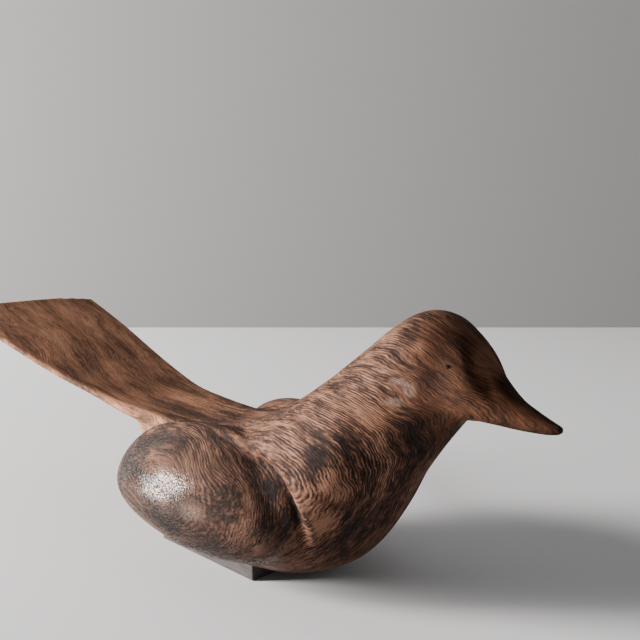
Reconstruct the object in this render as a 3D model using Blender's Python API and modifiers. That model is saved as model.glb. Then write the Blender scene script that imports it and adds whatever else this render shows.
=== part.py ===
"""Carved hardwood bird figurine.

The bird is carved from one block: head, beak, body, both folded wings and the thin fanned
tail share its grain.  A separate foot block fits the underside of the belly, and two dark
pegs are pressed into drilled sockets for the eyes.

Units are metres.  +X points along the beak, +Y to the bird's left, +Z up.  The origin is on
the table, under the middle of the figure's length.
"""

import math

import bpy
import bmesh
from mathutils import Euler, Matrix, Vector

MM = 0.001
FIT_GAP = 0.3 * MM            # clearance between the foot block and the belly

# Trunk: upright sections along X, in millimetres.  Each row is x, underside, top, half width,
# height of the widest point, then how square the upper and lower halves are (2 is round).
TRUNK = (
    (-32.0, 38.5, 42.0, 11.0, 40.6, 2.6, 2.0),    # rump, inside the root of the tail
    (-24.0, 29.0, 42.2, 14.5, 37.5, 2.8, 2.0),
    (-14.0, 16.0, 42.4, 18.0, 33.0, 3.0, 2.1),
    (-2.0, 6.0, 42.8, 22.5, 28.0, 3.0, 2.3),
    (14.0, 3.5, 44.0, 25.5, 25.0, 2.8, 2.7),
    (28.0, 3.2, 47.4, 27.4, 26.0, 2.5, 2.8),
    (38.0, 3.4, 51.6, 28.2, 27.5, 2.2, 2.6),      # shoulders
    (48.0, 4.6, 57.8, 28.0, 30.5, 2.1, 2.3),
    (58.0, 9.2, 65.0, 25.8, 36.0, 2.0, 2.1),     # breast
    (68.0, 20.8, 72.8, 21.6, 46.0, 2.0, 2.0),
    (76.0, 33.2, 79.0, 17.8, 56.5, 2.0, 2.0),     # neck
    (83.0, 42.6, 82.4, 15.4, 63.5, 2.1, 2.0),     # crown
    (89.0, 50.0, 82.1, 13.2, 66.5, 2.1, 2.0),
    (94.0, 55.4, 79.8, 10.8, 66.5, 2.0, 2.0),     # throat corner
    (99.0, 56.6, 75.0, 9.3, 65.0, 2.1, 1.9),      # forehead
    (104.0, 56.5, 69.0, 6.7, 62.2, 1.9, 1.8),
    (109.0, 56.3, 64.2, 4.8, 60.2, 1.8, 1.8),     # beak
    (114.0, 56.3, 61.5, 3.5, 59.0, 1.8, 1.8),
    (119.0, 56.6, 59.4, 2.0, 58.1, 1.9, 1.9),
    (121.0, 57.2, 58.8, 0.9, 58.0, 2.0, 2.0),
)
TRUNK_RING_STEP = 2.6         # spacing of the rings, mm
TRUNK_RING_POINTS = 44
BACK_DIP = 2.6                # depth of the hollow between the shoulders, mm
BACK_DIP_WIDTH = 9.0          # how far to each side it spreads, mm
BACK_DIP_FROM = -36.0         # where that hollow starts and ends, mm
BACK_DIP_TO = 38.0

# Tail: x, height of the top edge, thickness, half width, then how far the middle of the top
# stands above its edges (below them where negative), all in millimetres.
TAIL = (
    (-121.0, 67.5, 1.9, 29.2, 2.0),
    (-93.0, 59.4, 1.9, 26.6, 1.2),
    (-66.0, 51.4, 2.0, 23.0, 0.2),
    (-46.0, 46.7, 2.6, 19.6, -0.6),
    (-32.0, 44.0, 3.8, 17.8, -1.2),
    (-16.0, 42.8, 5.6, 16.8, -1.6),
    (0.0, 42.4, 8.0, 16.0, -1.6),
    (14.0, 42.8, 10.0, 14.6, -1.6),
    (26.0, 43.6, 12.0, 12.0, -1.6),
)
TAIL_RING_STEP = 4.0
TAIL_ACROSS = 10              # points across the top of a tail ring, none on the midline

# Folded wings: egg-shaped lobes.  The height above and below the centre changes evenly from
# the nose of the lobe to its rear end.
WING_CENTRE = (23.5, 21.5, 26.0)
WING_HALF = (35.5, 39.5, 15.6)                # forward, back, across
WING_UP = (17.4, 20.2)                        # at the nose, at the rear end
WING_DOWN = (20.4, 15.0)
WING_TOE_OUT = math.radians(7.4)
WING_SEGMENTS = (52, 32)

# Recess in each flank, which leaves a groove round the front of the wing.  Its outline is an
# oval in side view, and its floor lies a constant depth under the trunk's surface.
RECESS_CENTRE = (24.5, 25.5)
RECESS_HALF = (37.0, 30.0, 20.0, 16.0)        # forward, back, up, down
RECESS_FROM_Y = 17.6
RECESS_TO_Y = 45.0            # beyond the trunk's widest point
RECESS_SEGMENTS = 96
RECESS_DEPTH = 3.2
CORE_FROM_X = -12.0           # the part of the trunk that the recess floors need
CORE_TO_X = 68.0

# Foot block: a slab tapering to the rear, all in millimetres.
FOOT_REAR = -14.0
FOOT_FRONT = 32.4
FOOT_HALF_FRONT = 15.6
FOOT_HALF_REAR = 13.4
FOOT_TOP = 9.0                # height of the blank before the belly is cut out of it
FOOT_EDGE = 0.4
FOOT_EDGE_STEPS = 2

# Hollow beside the root of the beak, in front of the brow: an oval scoop whose length runs
# down the forehead.
LORE_CENTRE = (106.6, 10.8, 76.8)
LORE_HALF = (20.0, 20.0, 12.0)                # down the forehead, up it, across
LORE_FRONT = (12.0, 12.0)
LORE_BACK = (9.6, 9.6)
LORE_TILT = math.radians(60.0)
LORE_SEGMENTS = (72, 60)

# Eyes: pegs in drilled sockets.  X and Z of the socket, then radii and lengths, all in
# millimetres.
EYE_CENTRE = (95.7, 70.8)
EYE_SOCKET_RADIUS = 0.65
EYE_PEG_RADIUS = 0.5
EYE_DEPTH = 3.0
EYE_PROUD = 0.1
EYE_OVERSHOOT = 2.0           # how far the drill for the socket starts outside the head
EYE_SEGMENTS = 20


def interpolate(stations, x):
    """The station's values at x, on a smooth curve through all the stations."""
    last = len(stations) - 1
    i = 0
    while i < last - 1 and x > stations[i + 1][0]:
        i += 1
    before = stations[max(i - 1, 0)]
    start = stations[i]
    end = stations[i + 1]
    after = stations[min(i + 2, last)]
    span = end[0] - start[0]
    t = (x - start[0]) / span
    values = []
    for k in range(1, len(start)):
        slope_in = (end[k] - before[k]) / (end[0] - before[0]) * span
        slope_out = (after[k] - start[k]) / (after[0] - start[0]) * span
        values.append(
            start[k] * (2 * t**3 - 3 * t**2 + 1)
            + slope_in * (t**3 - 2 * t**2 + t)
            + end[k] * (-2 * t**3 + 3 * t**2)
            + slope_out * (t**3 - t**2)
        )
    return values


def ring_positions(stations, step):
    """Evenly spaced x values from the first station to the last."""
    first = stations[0][0]
    length = stations[-1][0] - first
    count = max(2, round(length / step))
    return [first + length * i / count for i in range(count + 1)]


def signed_power(value, power):
    return math.copysign(abs(value) ** power, value)


def trunk_ring(x, grow=0.0):
    """One upright section of the trunk, grown outward by a clearance in mm."""
    under, top, half, middle, square_up, square_low = interpolate(TRUNK, x)
    dip_t = (x - BACK_DIP_FROM) / (BACK_DIP_TO - BACK_DIP_FROM)
    dip = BACK_DIP * math.sin(math.pi * min(max(dip_t, 0.0), 1.0)) ** 2
    ring = []
    for i in range(TRUNK_RING_POINTS):
        angle = 2 * math.pi * (i + 0.5) / TRUNK_RING_POINTS
        upper = math.sin(angle) >= 0
        square = square_up if upper else square_low
        height = (top - middle) if upper else (middle - under)
        y = (half + grow) * signed_power(math.cos(angle), 2 / square)
        z = middle + (height + grow) * signed_power(math.sin(angle), 2 / square)
        if upper:
            z -= dip * math.exp(-((y / BACK_DIP_WIDTH) ** 2))
        ring.append(Vector((x, y, z)) * MM)
    return ring


def tail_ring(x):
    """One section of the tail: across the top, then back across the underside."""
    top, thickness, half, crown = interpolate(TAIL, x)
    across = [2 * i / (TAIL_ACROSS - 1) - 1 for i in range(TAIL_ACROSS)]
    tops = [top + crown * (1 - t * t) for t in across]
    upper = [Vector((x, half * t, z)) * MM for t, z in zip(across, tops)]
    lower = [Vector((x, half * t, z - thickness)) * MM for t, z in zip(across, tops)]
    return lower + upper[::-1]


def loft(name, rings):
    """A closed solid skinned over rings that all have the same number of points."""
    shape = bmesh.new()
    rows = [[shape.verts.new(point) for point in ring] for ring in rings]
    count = len(rows[0])
    for row, following in zip(rows, rows[1:]):
        for i in range(count):
            j = (i + 1) % count
            shape.faces.new((row[i], following[i], following[j], row[j]))
    shape.faces.new(rows[0])
    shape.faces.new(rows[-1][::-1])
    bmesh.ops.recalc_face_normals(shape, faces=shape.faces)
    return to_object(name, shape)


def to_object(name, shape):
    mesh = bpy.data.meshes.new(name)
    shape.to_mesh(mesh)
    shape.free()
    return bpy.data.objects.new(name, mesh)


def egg(name, centre, half_axes, up, down, segments, turn=Euler()):
    """A round lobe turned about its centre; up and down hold the heights at nose and rear."""
    forward, back, across = half_axes
    shape = bmesh.new()
    around, along_axis = segments
    bmesh.ops.create_uvsphere(shape, u_segments=around, v_segments=along_axis, radius=MM)
    to_x = Matrix.Rotation(math.pi / 2, 4, "Y")
    bmesh.ops.transform(shape, matrix=to_x, verts=shape.verts)
    for vertex in shape.verts:
        along = forward if vertex.co.x > 0 else back
        at_nose, at_rear = up if vertex.co.z > 0 else down
        height = at_rear + (at_nose - at_rear) * (vertex.co.x / MM + 1) / 2
        vertex.co = (vertex.co.x * along, vertex.co.y * across, vertex.co.z * height)
    place = Matrix.Translation(Vector(centre) * MM) @ turn.to_matrix().to_4x4()
    bmesh.ops.transform(shape, matrix=place, verts=shape.verts)
    return to_object(name, shape)


def wing_shape(name, grow=0.0):
    """The egg lobe of the left wing, its rear end turned outward."""
    half_axes, up, down = (
        [half + grow for half in halves] for halves in (WING_HALF, WING_UP, WING_DOWN)
    )
    turn = Euler((0, 0, -WING_TOE_OUT))
    return egg(name, WING_CENTRE, half_axes, up, down, WING_SEGMENTS, turn)


def recess_shape(name):
    """An oval plug, square to the left flank, that cuts the outline of the recess."""
    forward, back, up, down = RECESS_HALF
    length = RECESS_TO_Y - RECESS_FROM_Y
    middle_y = (RECESS_TO_Y + RECESS_FROM_Y) / 2
    shape = bmesh.new()
    bmesh.ops.create_cone(shape, cap_ends=True, segments=RECESS_SEGMENTS, radius1=1, radius2=1, depth=1)
    to_y = Matrix.Rotation(math.pi / 2, 4, "X")
    bmesh.ops.transform(shape, matrix=to_y, verts=shape.verts)
    for vertex in shape.verts:
        x, y, z = vertex.co
        vertex.co.x = (RECESS_CENTRE[0] + x * (forward if x > 0 else back)) * MM
        vertex.co.z = (RECESS_CENTRE[1] + z * (up if z > 0 else down)) * MM
        vertex.co.y = (middle_y + y * length) * MM
    return to_object(name, shape)


def peg(name, radius, start, end):
    """A round rod between two points given in millimetres."""
    start = Vector(start) * MM
    end = Vector(end) * MM
    axis = end - start
    shape = bmesh.new()
    bmesh.ops.create_cone(
        shape, cap_ends=True, segments=EYE_SEGMENTS, radius1=radius * MM, radius2=radius * MM,
        depth=axis.length,
    )
    turn = axis.to_track_quat("Z", "Y").to_matrix().to_4x4()
    place = Matrix.Translation((start + end) / 2) @ turn
    bmesh.ops.transform(shape, matrix=place, verts=shape.verts)
    return to_object(name, shape)


def combine(target, tool, operation):
    modifier = target.modifiers.new(f"{operation.lower()} {tool.name}", "BOOLEAN")
    modifier.operation = operation
    modifier.solver = "EXACT"
    modifier.object = tool


def mirror_left_half(target):
    """Keeps the half of the target at +Y and mirrors it to -Y."""
    mirror = target.modifiers.new("right half", "MIRROR")
    mirror.use_axis = (False, True, False)
    mirror.use_bisect_axis = (False, True, False)
    mirror.merge_threshold = 0.001 * MM
    mirror.bisect_threshold = 0.001 * MM


def wood(name, colour, roughness):
    material = bpy.data.materials.new(name)
    material.use_nodes = True
    shader = material.node_tree.nodes["Principled BSDF"]
    shader.inputs["Base Color"].default_value = (*colour, 1.0)
    shader.inputs["Roughness"].default_value = roughness
    shader.inputs["Metallic"].default_value = 0.0
    return material


def trunk_side_y(x, z):
    """How far out the trunk's side is at this place, in mm."""
    under, top, half, middle, square_up, square_low = interpolate(TRUNK, x)
    upper = z >= middle
    square = square_up if upper else square_low
    height = (top - middle) if upper else (middle - under)
    return half * (1 - (abs(z - middle) / height) ** square) ** (1 / square)


def main():
    for old in list(bpy.data.objects):
        bpy.data.objects.remove(old)

    parts = bpy.data.collections.new("bird_figurine")
    cutters = bpy.data.collections.new("cutters")
    bpy.context.scene.collection.children.link(parts)
    bpy.context.scene.collection.children.link(cutters)

    def add_cutter(cutter):
        cutter.hide_render = True
        cutter.display_type = "WIRE"
        cutters.objects.link(cutter)
        return cutter

    def add_part(part, material):
        part.data.materials.append(material)
        part.data.shade_smooth()
        part.data.set_sharp_from_angle(angle=math.radians(35))
        parts.objects.link(part)
        return part

    carved = wood("carved hardwood", (0.22, 0.10, 0.055), 0.38)
    foot_wood = wood("foot hardwood", (0.26, 0.13, 0.08), 0.45)
    dark_wood = wood("blackened peg", (0.02, 0.012, 0.01), 0.35)

    # Bird: the left half is carved out of the trunk, then mirrored.
    trunk_rings = [trunk_ring(x) for x in ring_positions(TRUNK, TRUNK_RING_STEP)]
    body = add_part(loft("bird_body", trunk_rings), carved)
    combine(body, add_cutter(recess_shape("recess")), "DIFFERENCE")
    core_xs = [x for x in ring_positions(TRUNK, TRUNK_RING_STEP) if CORE_FROM_X < x < CORE_TO_X]
    core = add_cutter(loft("core", [trunk_ring(x, -RECESS_DEPTH) for x in core_xs]))
    combine(body, core, "UNION")
    combine(body, add_cutter(wing_shape("wing")), "UNION")
    tail = add_cutter(loft("tail", [tail_ring(x) for x in ring_positions(TAIL, TAIL_RING_STEP)]))
    combine(body, tail, "UNION")
    tilt = Euler((0, LORE_TILT, 0))
    lore = egg("lore", LORE_CENTRE, LORE_HALF, LORE_FRONT, LORE_BACK, LORE_SEGMENTS, tilt)
    combine(body, add_cutter(lore), "DIFFERENCE")
    eye_x, eye_z = EYE_CENTRE
    eye_y = trunk_side_y(eye_x, eye_z)
    socket_floor = (eye_x, eye_y - EYE_DEPTH, eye_z)
    socket_mouth = (eye_x, eye_y + EYE_OVERSHOOT, eye_z)
    socket = add_cutter(peg("socket", EYE_SOCKET_RADIUS, socket_floor, socket_mouth))
    combine(body, socket, "DIFFERENCE")
    mirror_left_half(body)

    # Foot block: a slab whose top is hollowed to the belly with a small clearance.
    foot_shape = bmesh.new()
    bmesh.ops.create_cube(foot_shape, size=MM)
    for corner in foot_shape.verts:
        front = corner.co.x > 0
        corner.co.x = (FOOT_FRONT if front else FOOT_REAR) * MM
        half_width = FOOT_HALF_FRONT if front else FOOT_HALF_REAR
        corner.co.y = math.copysign(half_width, corner.co.y) * MM
        corner.co.z = (FOOT_TOP if corner.co.z > 0 else 0.0) * MM
    foot = add_part(to_object("foot_block", foot_shape), foot_wood)
    edge = foot.modifiers.new("worn edges", "BEVEL")
    edge.width = FOOT_EDGE * MM
    edge.segments = FOOT_EDGE_STEPS
    gap_mm = FIT_GAP / MM
    belly_rings = [trunk_ring(x, gap_mm) for x in ring_positions(TRUNK, TRUNK_RING_STEP)]
    combine(foot, add_cutter(loft("belly_clearance", belly_rings)), "DIFFERENCE")
    combine(foot, add_cutter(wing_shape("wing_clearance", gap_mm)), "DIFFERENCE")
    mirror_left_half(foot)

    # Eyes: pegs standing in the drilled sockets.
    for side, side_name in ((1, "left"), (-1, "right")):
        inner = (eye_x, side * (eye_y - EYE_DEPTH + gap_mm), eye_z)
        outer = (eye_x, side * (eye_y + EYE_PROUD), eye_z)
        add_part(peg(f"eye_{side_name}", EYE_PEG_RADIUS, inner, outer), dark_wood)


main()
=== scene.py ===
"""Carved hardwood bird on a plain pale floor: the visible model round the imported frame."""

import math

import bpy
import bmesh
import numpy as np
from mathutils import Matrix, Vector


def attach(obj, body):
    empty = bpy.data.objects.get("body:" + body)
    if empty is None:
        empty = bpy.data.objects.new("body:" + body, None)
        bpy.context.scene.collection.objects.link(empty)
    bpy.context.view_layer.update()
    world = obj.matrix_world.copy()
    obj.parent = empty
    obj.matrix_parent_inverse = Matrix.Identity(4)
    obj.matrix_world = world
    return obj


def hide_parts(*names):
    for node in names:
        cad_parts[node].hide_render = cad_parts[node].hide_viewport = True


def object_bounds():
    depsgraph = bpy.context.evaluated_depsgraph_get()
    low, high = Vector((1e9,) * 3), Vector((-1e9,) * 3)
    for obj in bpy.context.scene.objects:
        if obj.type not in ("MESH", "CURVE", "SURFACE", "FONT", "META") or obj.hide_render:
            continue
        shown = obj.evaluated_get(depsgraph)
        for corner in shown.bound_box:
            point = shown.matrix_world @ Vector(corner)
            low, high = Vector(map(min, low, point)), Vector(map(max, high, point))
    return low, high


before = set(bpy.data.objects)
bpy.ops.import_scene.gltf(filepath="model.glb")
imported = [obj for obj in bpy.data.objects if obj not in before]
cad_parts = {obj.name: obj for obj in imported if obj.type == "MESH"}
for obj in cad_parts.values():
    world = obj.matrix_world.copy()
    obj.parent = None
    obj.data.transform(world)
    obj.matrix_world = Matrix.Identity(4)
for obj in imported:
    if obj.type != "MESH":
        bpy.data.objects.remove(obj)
cad_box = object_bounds()

MM = 0.001

# Camera: where it stands, its heading and how far it looks down.
CAMERA_AT = (0.2198, -0.1814, 0.110)
CAMERA_HEADING = (-0.6947, 0.7193)
CAMERA_DOWN = math.radians(7.6)
CAMERA_LENS = 50.625
SENSOR = 36.0

# The carving, in mm: the same outlines as the CAD solids, taken at a finer pitch.
# Trunk: x, underside, top, half width, height of the widest point, then how square the
# upper and lower halves are (2 is round).
TRUNK = (
    (-32.0, 38.5, 42.0, 11.0, 40.6, 2.6, 2.0), (-24.0, 29.0, 42.2, 14.5, 37.5, 2.8, 2.0),
    (-14.0, 16.0, 42.4, 18.0, 33.0, 3.0, 2.1), (-2.0, 6.0, 42.8, 22.5, 28.0, 3.0, 2.3),
    (14.0, 3.5, 44.0, 25.5, 25.0, 2.8, 2.7), (28.0, 3.2, 47.4, 27.4, 26.0, 2.5, 2.8),
    (38.0, 3.4, 51.6, 28.2, 27.5, 2.2, 2.6), (48.0, 4.6, 57.8, 28.0, 30.5, 2.1, 2.3),
    (58.0, 9.2, 65.0, 25.8, 36.0, 2.0, 2.1), (68.0, 20.8, 72.8, 21.6, 46.0, 2.0, 2.0),
    (76.0, 33.2, 79.0, 17.8, 56.5, 2.0, 2.0), (83.0, 42.6, 82.4, 15.4, 63.5, 2.1, 2.0),
    (89.0, 50.0, 82.1, 13.2, 66.5, 2.1, 2.0), (94.0, 55.4, 79.8, 10.8, 66.5, 2.0, 2.0),
    (99.0, 56.6, 75.0, 9.3, 65.0, 2.1, 1.9), (104.0, 56.5, 69.0, 6.7, 62.2, 1.9, 1.8),
    (109.0, 56.3, 64.2, 4.8, 60.2, 1.8, 1.8), (114.0, 56.3, 61.5, 3.5, 59.0, 1.8, 1.8),
    (119.0, 56.6, 59.4, 2.0, 58.1, 1.9, 1.9), (121.0, 57.2, 58.8, 0.9, 58.0, 2.0, 2.0),
)
TRUNK_STEP = 0.9
TRUNK_AROUND = 150
BACK_DIP = (2.6, 9.0, -36.0, 38.0)            # depth, spread, from x, to x
# Tail: x, height of the top edge, thickness, half width, crown of the middle.
TAIL = (
    (-121.0, 67.5, 1.9, 29.2, 2.0), (-93.0, 59.4, 1.9, 26.6, 1.2), (-66.0, 51.4, 2.0, 23.0, 0.2),
    (-46.0, 46.7, 2.6, 19.6, -0.6), (-32.0, 44.0, 3.8, 17.8, -1.2), (-16.0, 42.8, 5.6, 16.8, -1.6),
    (0.0, 42.4, 8.0, 16.0, -1.6), (14.0, 42.8, 10.0, 14.6, -1.6), (26.0, 43.6, 12.0, 12.0, -1.6),
)
TAIL_STEP = 1.2
TAIL_ACROSS = 60
TAIL_EDGE = 0.45                              # rounding of the side edges, of the thickness
# Folded wings.
WING_CENTRE = (23.5, 21.5, 26.0)
WING_HALF = (35.5, 39.5, 15.6)                # forward, back, across
WING_UP = (18.4, 21.4)                        # at the nose, at the rear end
WING_DOWN = (20.4, 15.0)
WING_TOE_OUT = math.radians(7.4)

# How the lofts become one skin: the net's pitch, then the rounds of averaging that even it out,
# fill the valleys at the wings' roots, settle them, soften the crest's edge and finish it.
VOXEL = 0.5
EVEN_ROUNDS = 30
VALLEY_ROUNDS = 60
SETTLE_ROUNDS = 10
CREST_ROUNDS = 8
FINISH_ROUNDS = 4
BLADE_FADE = (-44.0, -24.0)                   # x between which the tail's blade becomes the body
WING_BACK = (-34.0, -18.0)                    # x between which the wings' lean comes in
# Crest of the groove round the front of each wing: x, distance from the middle plane, z,
# then how deep the groove is there and how far its easy side runs back on to the wing.
CREST = (
    (-12.0, 16.0, 41.0, 0.0, 9.0), (4.0, 18.5, 43.5, 0.3, 9.0), (18.0, 20.5, 44.6, 0.8, 11.0),
    (28.0, 21.5, 44.5, 1.9, 13.0), (38.0, 23.0, 43.2, 3.5, 15.0), (47.5, 25.5, 41.2, 5.0, 17.0),
    (54.0, 26.5, 37.8, 5.5, 18.0), (58.0, 25.8, 33.0, 5.9, 18.0), (60.0, 24.0, 28.0, 5.2, 18.0),
    (60.5, 22.0, 23.0, 3.4, 17.0), (59.5, 20.5, 18.5, 1.2, 15.0), (57.0, 18.0, 13.5, 0.1, 12.0),
    (52.0, 15.0, 8.5, 0.0, 9.0),
)
WING_POLE = (12.0, 38.0, 26.0)                # the wing's outermost point
WING_LEAN = 0.34                              # slope that the upper half of the wing leans in by
WING_LEAN_FROM = (19.0, 33.0)                 # heights between which that slope comes in
# Edge of the brow and of the beak's side, in side view: the hollow lies in front of it.
BROW = ((93.6, 80.4), (95.4, 77.1), (97.2, 74.2), (98.8, 71.2), (100.2, 68.2), (102.0, 65.4),
        (104.6, 63.2), (108.0, 61.6), (112.5, 60.1), (118.0, 58.7))
HOLLOW_DEPTH = 1.9
GROOVE_FULL = 4.5                             # depth from which the painted shade in a groove is as dark as it gets

# Growth rings: the pith line, in mm, and how it drifts for each mm along X.
PITH = (14.0, -43.0, 39.3)
PITH_DRIFT = (-0.127, -0.181)
RING_SPACING = 0.62
PITH_SHIFT = (-4.0, 8.0)                      # the pith line's bend in y and z beside the wing
OVAL_CENTRE_X = 16.0
OVAL_REACH = 14.0
OVAL_LIFT = 100.0
# Patches of the figure and of painted light and shade: centre, radii, and how much lighter or
# darker the wood is there.
FIGURE_AND_PAINTED_LIGHT_SPOTS = (
    ((64.4, -22.0, 44.0), (3.4, 8.0, 7.0), -0.26),
    # painted light: the pale patch beside the crest's lower end
    ((63.6, -20.4, 28.5), (5.0, 8.0, 6.5), 0.34),
    ((68.5, -20.5, 37.5), (4.5, 8.0, 5.5), 0.44),
    ((77.0, -13.5, 43.0), (5.0, 8.0, 7.0), 0.10),
    ((85.0, -11.0, 77.5), (4.5, 6.0, 3.2), -0.24),
    ((84.0, -14.0, 54.5), (6.0, 8.0, 4.5), -0.18),
    ((52.0, -24.0, 46.0), (12.0, 8.0, 4.0), 0.10),
    ((67.0, -14.0, 64.5), (14.0, 9.0, 7.0), -0.20),
    ((-2.0, -32.0, 27.0), (12.0, 12.0, 16.0), -0.16),
    # painted light: the pale front of the forehead
    ((102.0, -1.6, 71.5), (5.0, 5.0, 7.0), 0.42),
    ((93.5, -9.5, 68.0), (5.0, 6.0, 6.0), -0.14), ((93.0, -3.0, 80.5), (6.0, 6.0, 4.0), 0.14),
    ((46.5, -28.5, 30.0), (5.0, 6.0, 9.0), 0.14), ((-98.0, 6.0, 62.0), (38.0, 34.0, 14.0), 0.13),
    # painted shade: the first patch, dark at the crest's lower end
    ((61.0, -22.0, 25.0), (2.4, 4.0, 5.5), -0.34), ((49.5, -24.0, 34.5), (4.0, 5.0, 7.0), -0.28),
)
# Places worn pale, and one painted sheen: centre, radii and how pale.
SCUFFS_AND_SHEEN = (
    ((85.4, -14.5, 66.6), (2.6, 4.0, 1.1), 0.26), ((87.6, -13.6, 64.6), (2.0, 4.0, 2.0), 0.30),
    # the last one, low on the wing, is a painted sheen below the highlight; the rest are wear on
    # the neck
    ((84.0, -14.8, 61.2), (2.6, 4.0, 1.3), 0.22), ((30.0, -36.0, 25.5), (5.5, 5.0, 3.2), 0.16),
)

# The wood's colour from its dark lines to its pale ones, and what tints each kind of place,
# painted shade among them.
WOOD_STOPS = (
    (0.10, (0.006, 0.0027, 0.0020)), (0.40, (0.026, 0.0118, 0.0074)),
    (0.62, (0.082, 0.037, 0.0225)), (0.95, (0.178, 0.088, 0.056)),
)
WING_TINT = (0.84, 0.87, 0.88)
HEAD_TINT = (0.80, 0.72, 0.60)
BEAK_TINT = (0.68, 0.60, 0.48)
TAIL_TINT = (3.1, 3.15, 2.9)
# painted shade low in the belly and down the front of the breast
PAINTED_SHADE_TINT = (0.72, 0.64, 0.56)
# painted shade in the grooves round the wings
GROOVE_SHADE_TINT = (0.27, 0.21, 0.17)
# painted shade in the hollows beside the beak
HOLLOW_SHADE_TINT = (0.75, 0.65, 0.55)
WORN_AND_SHEEN_COLOUR = (0.30, 0.21, 0.165)
PORE_RELIEF = 0.06                            # mm
WAX_RELIEF = 0.028

scene = bpy.context.scene


# ---------------------------------------------------------------- shape


def stations_at(stations, xs):
    """The stations' values at each x, on a smooth curve through all of them."""
    table = np.array(stations)
    at, last = table[:, 0], len(table) - 1
    i = np.clip(np.searchsorted(at, xs, side="left") - 1, 0, last - 1)
    before, start = table[np.maximum(i - 1, 0)], table[i]
    end, after = table[i + 1], table[np.minimum(i + 2, last)]
    span = (end[:, :1] - start[:, :1])
    t = (xs[:, None] - start[:, :1]) / span
    slope_in = (end - before) / (end[:, :1] - before[:, :1]) * span
    slope_out = (after - start) / (after[:, :1] - start[:, :1]) * span
    values = (
        start * (2 * t**3 - 3 * t**2 + 1) + slope_in * (t**3 - 2 * t**2 + t)
        + end * (-2 * t**3 + 3 * t**2) + slope_out * (t**3 - t**2)
    )
    return values[:, 1:].T[:, :, None]


def even_xs(stations, step):
    first, last = stations[0][0], stations[-1][0]
    return np.linspace(first, last, round((last - first) / step) + 1)


def trunk_rings():
    xs = even_xs(TRUNK, TRUNK_STEP)
    under, top, half, middle, square_up, square_low = stations_at(TRUNK, xs)
    angle = 2 * math.pi * (np.arange(TRUNK_AROUND) + 0.5)[None, :] / TRUNK_AROUND
    cosine, sine = np.cos(angle), np.sin(angle)
    upper = sine >= 0
    power = 2 / np.where(upper, square_up, square_low)
    height = np.where(upper, top - middle, middle - under)
    y = half * np.sign(cosine) * np.abs(cosine) ** power
    z = middle + height * np.sign(sine) * np.abs(sine) ** power
    depth, spread, dip_from, dip_to = BACK_DIP
    t = np.clip((xs[:, None] - dip_from) / (dip_to - dip_from), 0, 1)
    z -= np.where(upper, depth * np.sin(math.pi * t) ** 2 * np.exp(-((y / spread) ** 2)), 0)
    return np.stack([np.broadcast_to(xs[:, None], y.shape), y, z], -1)


def tail_rings():
    xs = even_xs(TAIL, TAIL_STEP)
    top, thickness, half, crown = stations_at(TAIL, xs)
    t = np.sin(np.linspace(-0.5, 0.5, TAIL_ACROSS) * math.pi)[None, :]
    edge = np.clip(1 - (1 - np.abs(t)) * half / (TAIL_EDGE * thickness), 0, 1)
    rounding = thickness / 2 * (1 - np.sqrt(1 - 0.96 * edge**2))
    upper = top + crown * (1 - t * t)
    across = np.concatenate([half * t, (half * t)[:, ::-1]], 1)
    z = np.concatenate([upper - thickness + rounding, (upper - rounding)[:, ::-1]], 1)
    return np.stack([np.broadcast_to(xs[:, None], z.shape), across, z], -1)


def wing_rings(side):
    """The egg lobe of one wing; side is 1 for the left and -1 for the right."""
    forward, back, across = WING_HALF
    u = np.cos(np.linspace(math.pi, 0, 91)[1:-1])[:, None]
    angle = 2 * math.pi * np.arange(96)[None, :] / 96
    girth = np.sqrt(1 - u * u)
    up = WING_UP[1] + (WING_UP[0] - WING_UP[1]) * (u + 1) / 2
    down = WING_DOWN[1] + (WING_DOWN[0] - WING_DOWN[1]) * (u + 1) / 2
    x = u * np.where(u > 0, forward, back)
    y = girth * np.cos(angle) * across
    z = girth * np.sin(angle) * np.where(np.sin(angle) > 0, up, down)
    x = np.broadcast_to(x, y.shape)
    cosine, sine = math.cos(WING_TOE_OUT), math.sin(WING_TOE_OUT)
    turned_x, turned_y = x * cosine + y * sine, -x * sine + y * cosine
    cx, cy, cz = WING_CENTRE
    return np.stack([cx + turned_x, side * (cy + turned_y), cz + z], -1)


def add_solid(work, rings):
    """A closed skin over the rings, with its faces pointing out."""
    count, around = rings.shape[:2]
    verts = [work.verts.new(point) for point in rings.reshape(-1, 3)]
    faces = []
    for i in range(count - 1):
        for j in range(around):
            k = (j + 1) % around
            row, following = i * around, (i + 1) * around
            corners = (row + j, following + j, following + k, row + k)
            faces.append(work.faces.new([verts[c] for c in corners]))
    faces.append(work.faces.new(verts[:around]))
    faces.append(work.faces.new(verts[-around:][::-1]))
    bmesh.ops.recalc_face_normals(work, faces=faces)


def remeshed(mesh, voxel):
    """One even net of small quads round everything in the mesh."""
    holder = bpy.data.objects.new("holder", mesh)
    scene.collection.objects.link(holder)
    modifier = holder.modifiers.new("even net", "REMESH")
    modifier.mode = "VOXEL"
    modifier.voxel_size = voxel
    depsgraph = bpy.context.evaluated_depsgraph_get()
    result = bpy.data.meshes.new_from_object(holder.evaluated_get(depsgraph))
    bpy.data.objects.remove(holder)
    bpy.data.meshes.remove(mesh)
    return result


def points_of(mesh):
    flat = np.empty(len(mesh.vertices) * 3, np.float32)
    mesh.vertices.foreach_get("co", flat)
    return flat.reshape(-1, 3).astype(float)


def put_points(mesh, points):
    mesh.vertices.foreach_set("co", points.astype(np.float32).ravel())
    mesh.update()


def normals_of(mesh, points):
    put_points(mesh, points)
    flat = np.empty(len(points) * 3, np.float32)
    mesh.vertices.foreach_get("normal", flat)
    return flat.reshape(-1, 3).astype(float)


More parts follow.
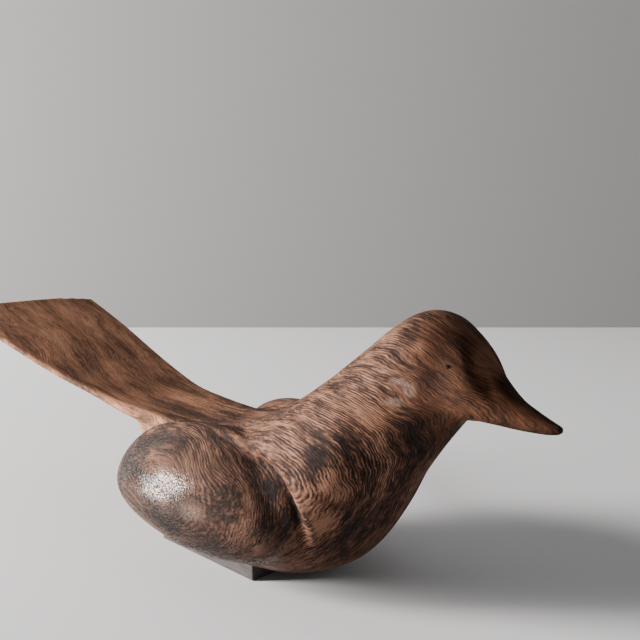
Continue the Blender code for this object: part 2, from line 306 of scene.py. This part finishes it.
class Net:
    """The mesh's edges, for averaging over neighbours."""

    def __init__(self, mesh):
        flat = np.empty(len(mesh.edges) * 2, np.int32)
        mesh.edges.foreach_get("vertices", flat)
        self.a, self.b = flat.reshape(-1, 2).T
        self.count = len(mesh.vertices)
        self.degree = np.bincount(flat, minlength=self.count).astype(float)

    def mean(self, values):
        if values.ndim == 1:
            total = np.bincount(self.a, values[self.b], self.count)
            return (total + np.bincount(self.b, values[self.a], self.count)) / self.degree
        return np.stack([self.mean(column) for column in values.T], -1)

    def spread(self, values, rounds):
        for _ in range(rounds):
            values = 0.5 * values + 0.5 * self.mean(values)
        return values

    def smooth(self, points, amount, rounds):
        """Evens the surface out without shrinking it; amount is 0 to 1 at each point."""
        for _ in range(rounds):
            for step in (0.62, -0.64):
                points = points + (self.mean(points) - points) * (step * amount)[:, None]
        return points

    def melt(self, points, amount, rounds):
        """Plain averaging, which also fills creases."""
        for _ in range(rounds):
            points = points + (self.mean(points) - points) * (0.6 * amount)[:, None]
        return points


def ramp(values, low, high):
    t = np.clip((values - low) / (high - low), 0.0, 1.0)
    return t * t * (3.0 - 2.0 * t)


def from_crest(points, normals):
    """Distance along the skin from the groove's crest, positive on the wing, then the groove's
    depth and width there."""
    flip = np.where(points[:, 1:2] < 0, -1.0, 1.0) * (0.0, 1.0, 0.0) + (1.0, 0.0, 1.0)
    mirrored, facing = points * flip, normals * flip
    nearest = np.full(len(points), 1e9)
    found = np.zeros((len(points), 5))
    tangent = np.zeros((len(points), 3))
    for start, end in zip(np.array(CREST), np.array(CREST)[1:]):
        run = end[:3] - start[:3]
        t = np.clip((mirrored - start[:3]) @ run / (run @ run), 0, 1)
        place = start + t[:, None] * (end - start)
        gap = np.linalg.norm(mirrored - place[:, :3], axis=1)
        nearer = gap < nearest
        nearest = np.where(nearer, gap, nearest)
        found = np.where(nearer[:, None], place, found)
        tangent = np.where(nearer[:, None], run / np.linalg.norm(run), tangent)
    across = np.array(WING_POLE) - found[:, :3]
    for direction in (tangent, facing):
        across -= (across * direction).sum(1)[:, None] * direction
    across /= np.linalg.norm(across, axis=1)[:, None]
    away = ((mirrored - found[:, :3]) * across).sum(1)
    near = 1 - ramp(nearest, 22.0, 28.0)
    return away, found[:, 3] * near, found[:, 4]


def ahead_of_brow(x, z):
    """Distance in front of the brow's line in side view, in mm, negative behind it."""
    best = np.full(len(x), 1e9)
    signed_best = np.zeros(len(x))
    for (ax, az), (bx, bz) in zip(BROW, BROW[1:]):
        ex, ez = bx - ax, bz - az
        t = np.clip(((x - ax) * ex + (z - az) * ez) / (ex * ex + ez * ez), 0, 1)
        gap = np.hypot(x - ax - t * ex, z - az - t * ez)
        side = np.sign((x - ax) * -ez + (z - az) * ex)
        nearer = gap < best
        best = np.where(nearer, gap, best)
        signed_best = np.where(nearer, gap * side, signed_best)
    return signed_best


def even_skin():
    """The lofts as one mesh with an even net, smoothed, the wings' valleys rounded out."""
    work = bmesh.new()
    for rings in (trunk_rings(), tail_rings(), wing_rings(1), wing_rings(-1)):
        add_solid(work, rings)
    mesh = bpy.data.meshes.new("bird_carving")
    work.to_mesh(mesh)
    work.free()
    mesh = remeshed(mesh, VOXEL)
    mesh.name = "bird_carving"
    net = Net(mesh)
    points = points_of(mesh)
    blade = 1.0 - ramp(points[:, 0], *BLADE_FADE)
    points = net.smooth(points, 0.5 + 0.5 * blade, EVEN_ROUNDS)

    normals = normals_of(mesh, points)
    bend = ((net.mean(points) - points) * normals).sum(1)
    valley = net.spread(ramp(bend, 0.012, 0.05) * (1 - blade), 10)
    points = net.melt(points, np.clip(valley * 3.0, 0, 1), VALLEY_ROUNDS)
    points = net.smooth(points, 1.0 - 0.8 * blade, SETTLE_ROUNDS)
    return mesh, net, points, blade


def lean_wings(points):
    """The upper half of the wings leans in towards the back."""
    x, y, z = points.T
    low, high = WING_LEAN_FROM
    over = np.clip(z - low, 0, high - low)
    lean = WING_LEAN * (over**2 / (2 * (high - low)) + np.maximum(z - high, 0))
    points[:, 1] -= np.sign(y) * lean * ramp(np.abs(y), 20.0, 34.0) * ramp(x, *WING_BACK)


def cut_grooves(net, points, normals):
    """Groove round the front of each wing: steep on the body's side, easy on the wing's."""
    away, deepest, width = from_crest(points, normals)
    flank = -1.0 - 2.0 * (1 - ramp(points[:, 2], 17.0, 29.0))
    profile = ramp(away, flank, 1.4) * (1 - np.clip(away / width, 0, 1)) ** 2
    depth = net.spread(deepest * profile, 3)
    points = points - normals * depth[:, None]
    edged = np.clip(deepest / 2.0, 0, 1)
    points = net.melt(points, np.exp(-((away / 2.5) ** 2)) * edged, CREST_ROUNDS)
    # band along the crest that gets a painted highlight
    crest = np.exp(-(((away + 0.9) / 1.1) ** 2)) * edged
    return points, away, depth, crest


def beak_hollow(points):
    """How deep the hollow beside the root of the beak is at each point."""
    x, y, z = points.T
    t = ahead_of_brow(x, z)
    profile = ramp(t, 0.2, 2.6) * (1 - ramp(t, 2.8, 8.0))
    along = ramp(x, 94.5, 99.5) * (1 - 0.85 * ramp(x, 101.5, 109.0))
    return HOLLOW_DEPTH * profile * along * ramp(np.abs(y), 2.5, 7.0)


def carve_body():
    mesh, net, points, blade = even_skin()
    lean_wings(points)
    normals = net.spread(normals_of(mesh, points), 30)
    normals /= np.linalg.norm(normals, axis=1)[:, None]
    points, away, depth, crest = cut_grooves(net, points, normals)
    hollow = beak_hollow(points)
    points = points - normals * hollow[:, None]
    points = net.smooth(points, 1.0 - 0.5 * blade, FINISH_ROUNDS)

    # Where each kind of surface is, for the wood's material; groove and hollow mark painted shade,
    # crest a painted highlight.
    x, y, z = points.T
    marks = {
        "wing": ramp(away, 1.0, 9.0) * ramp(np.abs(y), 14.0, 22.0),
        # painted shade, deeper where the groove is deeper
        "groove": np.clip(depth / GROOVE_FULL, 0, 1) ** 1.5,
        # painted shade, deeper where the hollow is deeper
        "hollow": np.clip(hollow / HOLLOW_DEPTH, 0, 1),
        # painted highlight along the crest
        "crest": crest * ramp(z, 15.0, 25.0),
    }
    for name, values in marks.items():
        attribute = mesh.attributes.new(name, "FLOAT", "POINT")
        attribute.data.foreach_set("value", values.astype(np.float32))
    low, high = np.array(cad_box) / MM
    put_points(mesh, np.clip(points, low, high) * MM)
    mesh.shade_smooth()
    piece = bpy.data.objects.new("bird_carving", mesh)
    scene.collection.objects.link(piece)
    return piece


# ---------------------------------------------------------------- materials


class Nodes:
    """Short calls for building one material's node tree."""

    def __init__(self, name):
        self.material = bpy.data.materials.new(name)
        self.material.use_nodes = True
        self.tree = self.material.node_tree
        self.shader = self.tree.nodes["Principled BSDF"]

    def link(self, value, socket):
        if isinstance(value, bpy.types.NodeSocket):
            self.tree.links.new(value, socket)
        else:
            socket.default_value = value

    def math(self, operation, *values):
        node = self.tree.nodes.new("ShaderNodeMath")
        node.operation = operation
        for value, socket in zip(values, node.inputs):
            self.link(value, socket)
        return node.outputs[0]

    def vector(self, operation, *values):
        node = self.tree.nodes.new("ShaderNodeVectorMath")
        node.operation = operation
        for value, socket in zip(values, node.inputs):
            self.link(value, socket)
        return node.outputs[0]

    def scaled(self, vector, factor):
        node = self.tree.nodes.new("ShaderNodeVectorMath")
        node.operation = "SCALE"
        self.link(vector, node.inputs[0])
        self.link(factor, node.inputs["Scale"])
        return node.outputs[0]

    def split(self, vector):
        node = self.tree.nodes.new("ShaderNodeSeparateXYZ")
        self.link(vector, node.inputs[0])
        return node.outputs

    def join(self, x, y, z):
        node = self.tree.nodes.new("ShaderNodeCombineXYZ")
        for value, socket in zip((x, y, z), node.inputs):
            self.link(value, socket)
        return node.outputs[0]

    def noise(self, vector, scale=1.0, detail=2.0, roughness=0.5):
        node = self.tree.nodes.new("ShaderNodeTexNoise")
        self.link(vector, node.inputs["Vector"])
        for key, value in (("Scale", scale), ("Detail", detail), ("Roughness", roughness)):
            node.inputs[key].default_value = value
        return node.outputs

    def remap(self, value, low, high, to_low=0.0, to_high=1.0, smooth_step=False):
        node = self.tree.nodes.new("ShaderNodeMapRange")
        if smooth_step:
            node.interpolation_type = "SMOOTHSTEP"
        for number, socket in zip((value, low, high, to_low, to_high), node.inputs):
            self.link(number, socket)
        return node.outputs[0]

    def ramp(self, value, stops):
        node = self.tree.nodes.new("ShaderNodeValToRGB")
        elements = node.color_ramp.elements
        while len(elements) < len(stops):
            elements.new(0.5)
        for element, (place, colour) in zip(elements, stops):
            element.position = place
            element.color = (*colour, 1.0)
        self.link(value, node.inputs[0])
        return node.outputs[0]

    def mix(self, factor, first, second, mode="MIX"):
        node = self.tree.nodes.new("ShaderNodeMix")
        node.data_type = "RGBA"
        node.blend_type = mode
        self.link(factor, node.inputs[0])
        for value, socket in ((first, node.inputs[6]), (second, node.inputs[7])):
            if isinstance(value, tuple):
                value = (*value, 1.0)
            self.link(value, socket)
        return node.outputs[2]

    def bump(self, height, distance, strength=1.0):
        node = self.tree.nodes.new("ShaderNodeBump")
        node.inputs["Strength"].default_value = strength
        node.inputs["Distance"].default_value = distance
        self.link(height, node.inputs["Height"])
        return node.outputs[0]

    def attribute(self, name):
        """A value that the carving holds at each of its points."""
        node = self.tree.nodes.new("ShaderNodeAttribute")
        node.attribute_name = name
        return node.outputs["Fac"]

    def spot(self, place, edge, centre, radii):
        """1 at the centre of a soft patch, 0 beyond it, with an uneven edge."""
        away = self.vector("DIVIDE", self.vector("SUBTRACT", place, centre), radii)
        node = self.tree.nodes.new("ShaderNodeVectorMath")
        node.operation = "LENGTH"
        self.link(away, node.inputs[0])
        uneven = self.math("MULTIPLY_ADD", edge, 1.6, node.outputs["Value"])
        return self.remap(uneven, 2.0, 1.1, smooth_step=True)

    def place_mm(self):
        """The point on the object, in millimetres."""
        node = self.tree.nodes.new("ShaderNodeTexCoord")
        return self.scaled(node.outputs["Object"], 1.0 / MM)


def signed(nodes, value):
    """A noise value moved from 0..1 to -1..1."""
    return nodes.math("MULTIPLY_ADD", value, 2.0, -1.0)


def growth_rings(n, x, y, z, wing):
    """Distance from the pith line, drawn out into ovals beside the wing, and the turn round it."""
    along = n.join(n.math("MULTIPLY", x, 0.4), y, z)
    large = n.noise(along, scale=0.035, detail=2.0)["Fac"]
    wavy = n.noise(along, scale=0.17, detail=2.0, roughness=0.6)["Fac"]
    fine = n.noise(along, scale=0.7, detail=1.0)["Fac"]
    run = n.math("SUBTRACT", x, PITH[0])
    dy = n.math("SUBTRACT", n.math("MULTIPLY_ADD", run, -PITH_DRIFT[0], y), PITH[1])
    dz = n.math("SUBTRACT", n.math("MULTIPLY_ADD", run, -PITH_DRIFT[1], z), PITH[2])
    beside = n.math("MULTIPLY", n.remap(y, -20.0, -32.0, smooth_step=True),
                    n.remap(x, 60.0, 35.0, smooth_step=True))
    dy = n.math("MULTIPLY_ADD", beside, PITH_SHIFT[0], dy)
    dz = n.math("MULTIPLY_ADD", beside, PITH_SHIFT[1], dz)
    square = n.math("ADD", n.math("MULTIPLY", dy, dy), n.math("MULTIPLY", dz, dz))
    far = n.math("MULTIPLY", n.math("SUBTRACT", x, OVAL_CENTRE_X), 1 / OVAL_REACH)
    fall = n.math("EXPONENT", n.math("MULTIPLY", n.math("MULTIPLY", far, far), -1.0))
    square = n.math("MULTIPLY_ADD", n.math("SUBTRACT", 1.0, fall), OVAL_LIFT, square)
    reach = n.math("SQRT", square)
    reach = n.math("MULTIPLY_ADD", signed(n, large), 7.0, reach)
    sway = n.math("MULTIPLY_ADD", wing, -0.4, 1.0)
    reach = n.math("ADD", reach, n.math("MULTIPLY", signed(n, wavy), sway))
    reach = n.math("MULTIPLY_ADD", signed(n, fine), 0.28, reach)
    return reach, n.math("ARCTAN2", dz, dy)


def along_grain(n, x, reach, turn, scales, **noise):
    """Noise drawn out along the grain: scales are along it, across the rings and round them."""
    stretched = n.join(*(n.math("MULTIPLY", part, scale)
                         for part, scale in zip((x, reach, turn), scales)))
    return n.noise(stretched, **noise)["Fac"]


def figure_tone(n, place, grain, marks, broken, dashes):
    """How light the wood is, about 0 to 1: lines, dashes, zones and patches, with a painted
    highlight along the crest and some patches of painted light and shade.
    """
    x, reach, turn = grain
    wing, head, tail, crest = marks
    smoother = n.math("MAXIMUM", head, tail)
    calm = n.math("MULTIPLY_ADD", wing, -0.38, 1.0)
    calm = n.math("MULTIPLY_ADD", smoother, -0.5, calm)
    calm = n.math("MULTIPLY_ADD", tail, -0.14, calm)
    lines = n.math("SINE", n.math("MULTIPLY", reach, 2 * math.pi / RING_SPACING))
    come_and_go = n.noise(place, scale=0.11, detail=1.0)["Fac"]
    line_strength = n.remap(come_and_go, 0.35, 0.65, 0.04, 0.24)
    tone = n.math("MULTIPLY_ADD", lines, line_strength,
                  n.math("MULTIPLY", signed(n, broken), 0.9))
    dashed = n.math("MULTIPLY", signed(n, dashes), n.math("MULTIPLY_ADD", wing, -0.16, 0.42))
    tone = n.math("ADD", tone, dashed)
    tone = n.math("MULTIPLY_ADD", tone, calm, 0.5)

    zones = along_grain(n, x, reach, turn, (0.02, 0.16, 1.2), detail=2.0, roughness=0.6)
    patches = n.noise(place, scale=0.06, detail=2.0)["Fac"]
    level = n.math("MULTIPLY_ADD", signed(n, zones), 0.65,
                   n.math("MULTIPLY", signed(n, patches), 0.3))
    tone = n.math("MULTIPLY_ADD", level, n.math("MULTIPLY_ADD", smoother, -0.4, 1.0), tone)
    # painted highlight along the groove's crest
    tone = n.math("MULTIPLY_ADD", crest, 0.08, tone)
    # patches of figure, some of them painted light and painted shade
    for centre, radii, change in FIGURE_AND_PAINTED_LIGHT_SPOTS:
        tone = n.math("MULTIPLY_ADD", n.spot(place, patches, centre, radii), change, tone)
    return tone


def figured_wood(name):
    """Figured hardwood: wavy growth lines round a pith line, dark zones, pores and wax, with
    painted shade in the grooves, the hollows and low down, and painted light on the crest.
    """
    n = Nodes(name)
    place = n.place_mm()
    x, y, z = n.split(place)
    wing, groove, hollow, crest = (
        n.attribute(mark) for mark in ("wing", "groove", "hollow", "crest")
    )
    head = n.remap(x, 82.0, 93.0, smooth_step=True)
    beak = n.remap(x, 100.0, 108.0, smooth_step=True)
    tail = n.math("MULTIPLY", n.remap(x, 8.0, -24.0, smooth_step=True),
                  n.math("SUBTRACT", 1.0, wing))
    # painted shade low in the belly and down the front of the breast
    painted_shade = n.math("MAXIMUM", n.remap(z, 26.0, 6.0, smooth_step=True),
                       n.math("MULTIPLY", n.remap(x, 74.0, 90.0, smooth_step=True),
                              n.remap(z, 65.0, 53.0, smooth_step=True)))
    reach, turn = growth_rings(n, x, y, z, wing)
    broken = along_grain(n, x, reach, turn, (0.15, 1.3, 10.0), detail=3.0, roughness=0.65)
    dashes = along_grain(n, x, reach, turn, (0.5, 3.2, 26.0), detail=2.0, roughness=0.6)
    tone = figure_tone(n, place, (x, reach, turn), (wing, head, tail, crest), broken, dashes)

    colour = n.ramp(tone, WOOD_STOPS)
    for where, tint in (
        (wing, WING_TINT), (head, HEAD_TINT), (beak, BEAK_TINT), (tail, TAIL_TINT),
        (painted_shade, PAINTED_SHADE_TINT), (groove, GROOVE_SHADE_TINT), (hollow, HOLLOW_SHADE_TINT),
    ):
        colour = n.mix(where, colour, tint, "MULTIPLY")
    # pale wear on the neck and a painted sheen on the wing
    for centre, radii, paleness in SCUFFS_AND_SHEEN:
        worn_and_sheen = n.math("MULTIPLY", n.spot(place, broken, centre, radii), paleness)
        worn_and_sheen = n.math("MULTIPLY", worn_and_sheen, n.remap(dashes, 0.38, 0.6, 0.3, 1.6))
        colour = n.mix(worn_and_sheen, colour, WORN_AND_SHEEN_COLOUR)
    n.link(colour, n.shader.inputs["Base Color"])

    # pores: short fine pits along the grain, which also break up the gloss
    pores = along_grain(n, x, reach, turn, (0.8, 2.6, 30.0), detail=1.0)
    pits = n.remap(pores, 0.43, 0.60, smooth_step=True)
    relief = n.math("MULTIPLY_ADD", pits, 0.6, tone)
    n.link(n.bump(relief, PORE_RELIEF * MM), n.shader.inputs["Normal"])
    n.link(n.math("MULTIPLY_ADD", pits, -0.12, 0.84), n.shader.inputs["Roughness"])

    # the wax coat lies unevenly over the pores
    chatter = along_grain(n, x, reach, turn, (0.5, 1.0, 12.0), detail=2.0)
    uneven = n.math("MULTIPLY_ADD", pits, 0.35, chatter)
    n.link(n.bump(uneven, WAX_RELIEF * MM), n.shader.inputs["Coat Normal"])
    waxed = n.math("MAXIMUM", wing, n.math("MULTIPLY", head, 0.3))
    n.link(n.math("MULTIPLY", waxed, n.math("MULTIPLY_ADD", pits, 0.62, -0.02)),
           n.shader.inputs["Coat Weight"])
    n.shader.inputs["Coat Roughness"].default_value = 0.10
    n.shader.inputs["Coat IOR"].default_value = 1.33
    n.shader.inputs["Specular IOR Level"].default_value = 0.10
    return n.material


def plain_wood(name, dark, light, roughness):
    n = Nodes(name)
    place = n.place_mm()
    x, y, z = n.split(place)
    stretched = n.join(n.math("MULTIPLY", x, 0.12), y, z)
    grain = n.noise(stretched, scale=1.1, detail=3.0, roughness=0.6)["Fac"]
    n.link(n.ramp(grain, ((0.3, dark), (0.7, light))), n.shader.inputs["Base Color"])
    n.link(n.remap(grain, 0.3, 0.7, roughness, roughness + 0.1), n.shader.inputs["Roughness"])
    n.link(n.bump(grain, 0.04 * MM, 0.6), n.shader.inputs["Normal"])
    n.shader.inputs["Specular IOR Level"].default_value = 0.08
    return n.material


def assign(piece, material):
    piece.data.materials.clear()
    piece.data.materials.append(material)


bird = carve_body()
assign(bird, figured_wood("figured_hardwood"))
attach(bird, "root")
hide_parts("bird_body")

assign(
    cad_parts["foot_block"],
    plain_wood("foot_hardwood", (0.030, 0.024, 0.024), (0.066, 0.055, 0.055), 0.5),
)
peg = plain_wood("blackened_peg", (0.0012, 0.0006, 0.0004), (0.003, 0.0015, 0.001), 0.9)
for side in ("left", "right"):
    assign(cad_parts[f"eye_{side}"], peg)


# ---------------------------------------------------------------- stage


def stage_material(name, colour, roughness):
    n = Nodes(name)
    n.shader.inputs["Base Color"].default_value = (*colour, 1.0)
    n.shader.inputs["Roughness"].default_value = roughness
    return n.material


def quad(name, corners, material):
    mesh = bpy.data.meshes.new(name)
    mesh.from_pydata(corners, [], [(0, 1, 2, 3)])
    mesh.materials.append(material)
    piece = bpy.data.objects.new(name, mesh)
    scene.collection.objects.link(piece)
    return piece


heading = Vector((*CAMERA_HEADING, 0.0)).normalized()
side = Vector((heading.y, -heading.x, 0.0))
camera_foot = Vector((CAMERA_AT[0], CAMERA_AT[1], 0.0))
WALL_DISTANCE = 0.775
wall_foot = camera_foot + heading * WALL_DISTANCE
floor_material = stage_material("pale_floor", (0.64, 0.635, 0.645), 0.6)
wall_material = stage_material("pale_wall", (0.168, 0.166, 0.162), 0.8)
quad("floor", [(-3, -3, 0), (3, -3, 0), (3, 3, 0), (-3, 3, 0)], floor_material)
wall = [wall_foot - side * 1.2, wall_foot + side * 1.2]
quad(
    "backdrop",
    [tuple(wall[0]), tuple(wall[1]), tuple(wall[1] + Vector((0, 0, 1.2))),
     tuple(wall[0] + Vector((0, 0, 1.2)))],
    wall_material,
)


def area_light(name, direction, distance, size, watts, colour, aim=(0.01, -0.01, 0.035)):
    light = bpy.data.lights.new(name, "AREA")
    light.shape = "RECTANGLE"
    light.size, light.size_y = size
    light.energy = watts
    light.color = colour
    lamp = bpy.data.objects.new(name, light)
    lamp.location = Vector(aim) + Vector(direction).normalized() * distance
    lamp.rotation_mode = "QUATERNION"
    lamp.rotation_quaternion = (Vector(aim) - lamp.location).to_track_quat("-Z", "Y")
    scene.collection.objects.link(lamp)
    return lamp


area_light("window", (-0.71, -0.69, 0.205), 1.5, (0.40, 0.72), 155.0, (1.0, 0.975, 0.94))
area_light("fill", (0.85, -0.25, 0.35), 1.2, (1.0, 0.8), 1.4, (1.0, 0.97, 0.92))
area_light("overhead", (-0.2, 0.2, 1.0), 1.1, (1.0, 1.0), 1.0, (0.95, 0.97, 1.0))

world = bpy.data.worlds.new("studio")
scene.world = world
world.use_nodes = True
world.node_tree.nodes["Background"].inputs["Color"].default_value = (0.80, 0.84, 0.90, 1.0)
world.node_tree.nodes["Background"].inputs["Strength"].default_value = 0.16

camera_data = bpy.data.cameras.new("camera")
camera_data.sensor_width = SENSOR
camera_data.lens = CAMERA_LENS
camera_data.clip_start = 0.01
camera = bpy.data.objects.new("camera", camera_data)
camera.location = CAMERA_AT
look = heading * math.cos(CAMERA_DOWN) - Vector((0, 0, math.sin(CAMERA_DOWN)))
camera.rotation_mode = "QUATERNION"
camera.rotation_quaternion = look.to_track_quat("-Z", "Y")
scene.collection.objects.link(camera)
scene.camera = camera

bpy.context.view_layer.update()
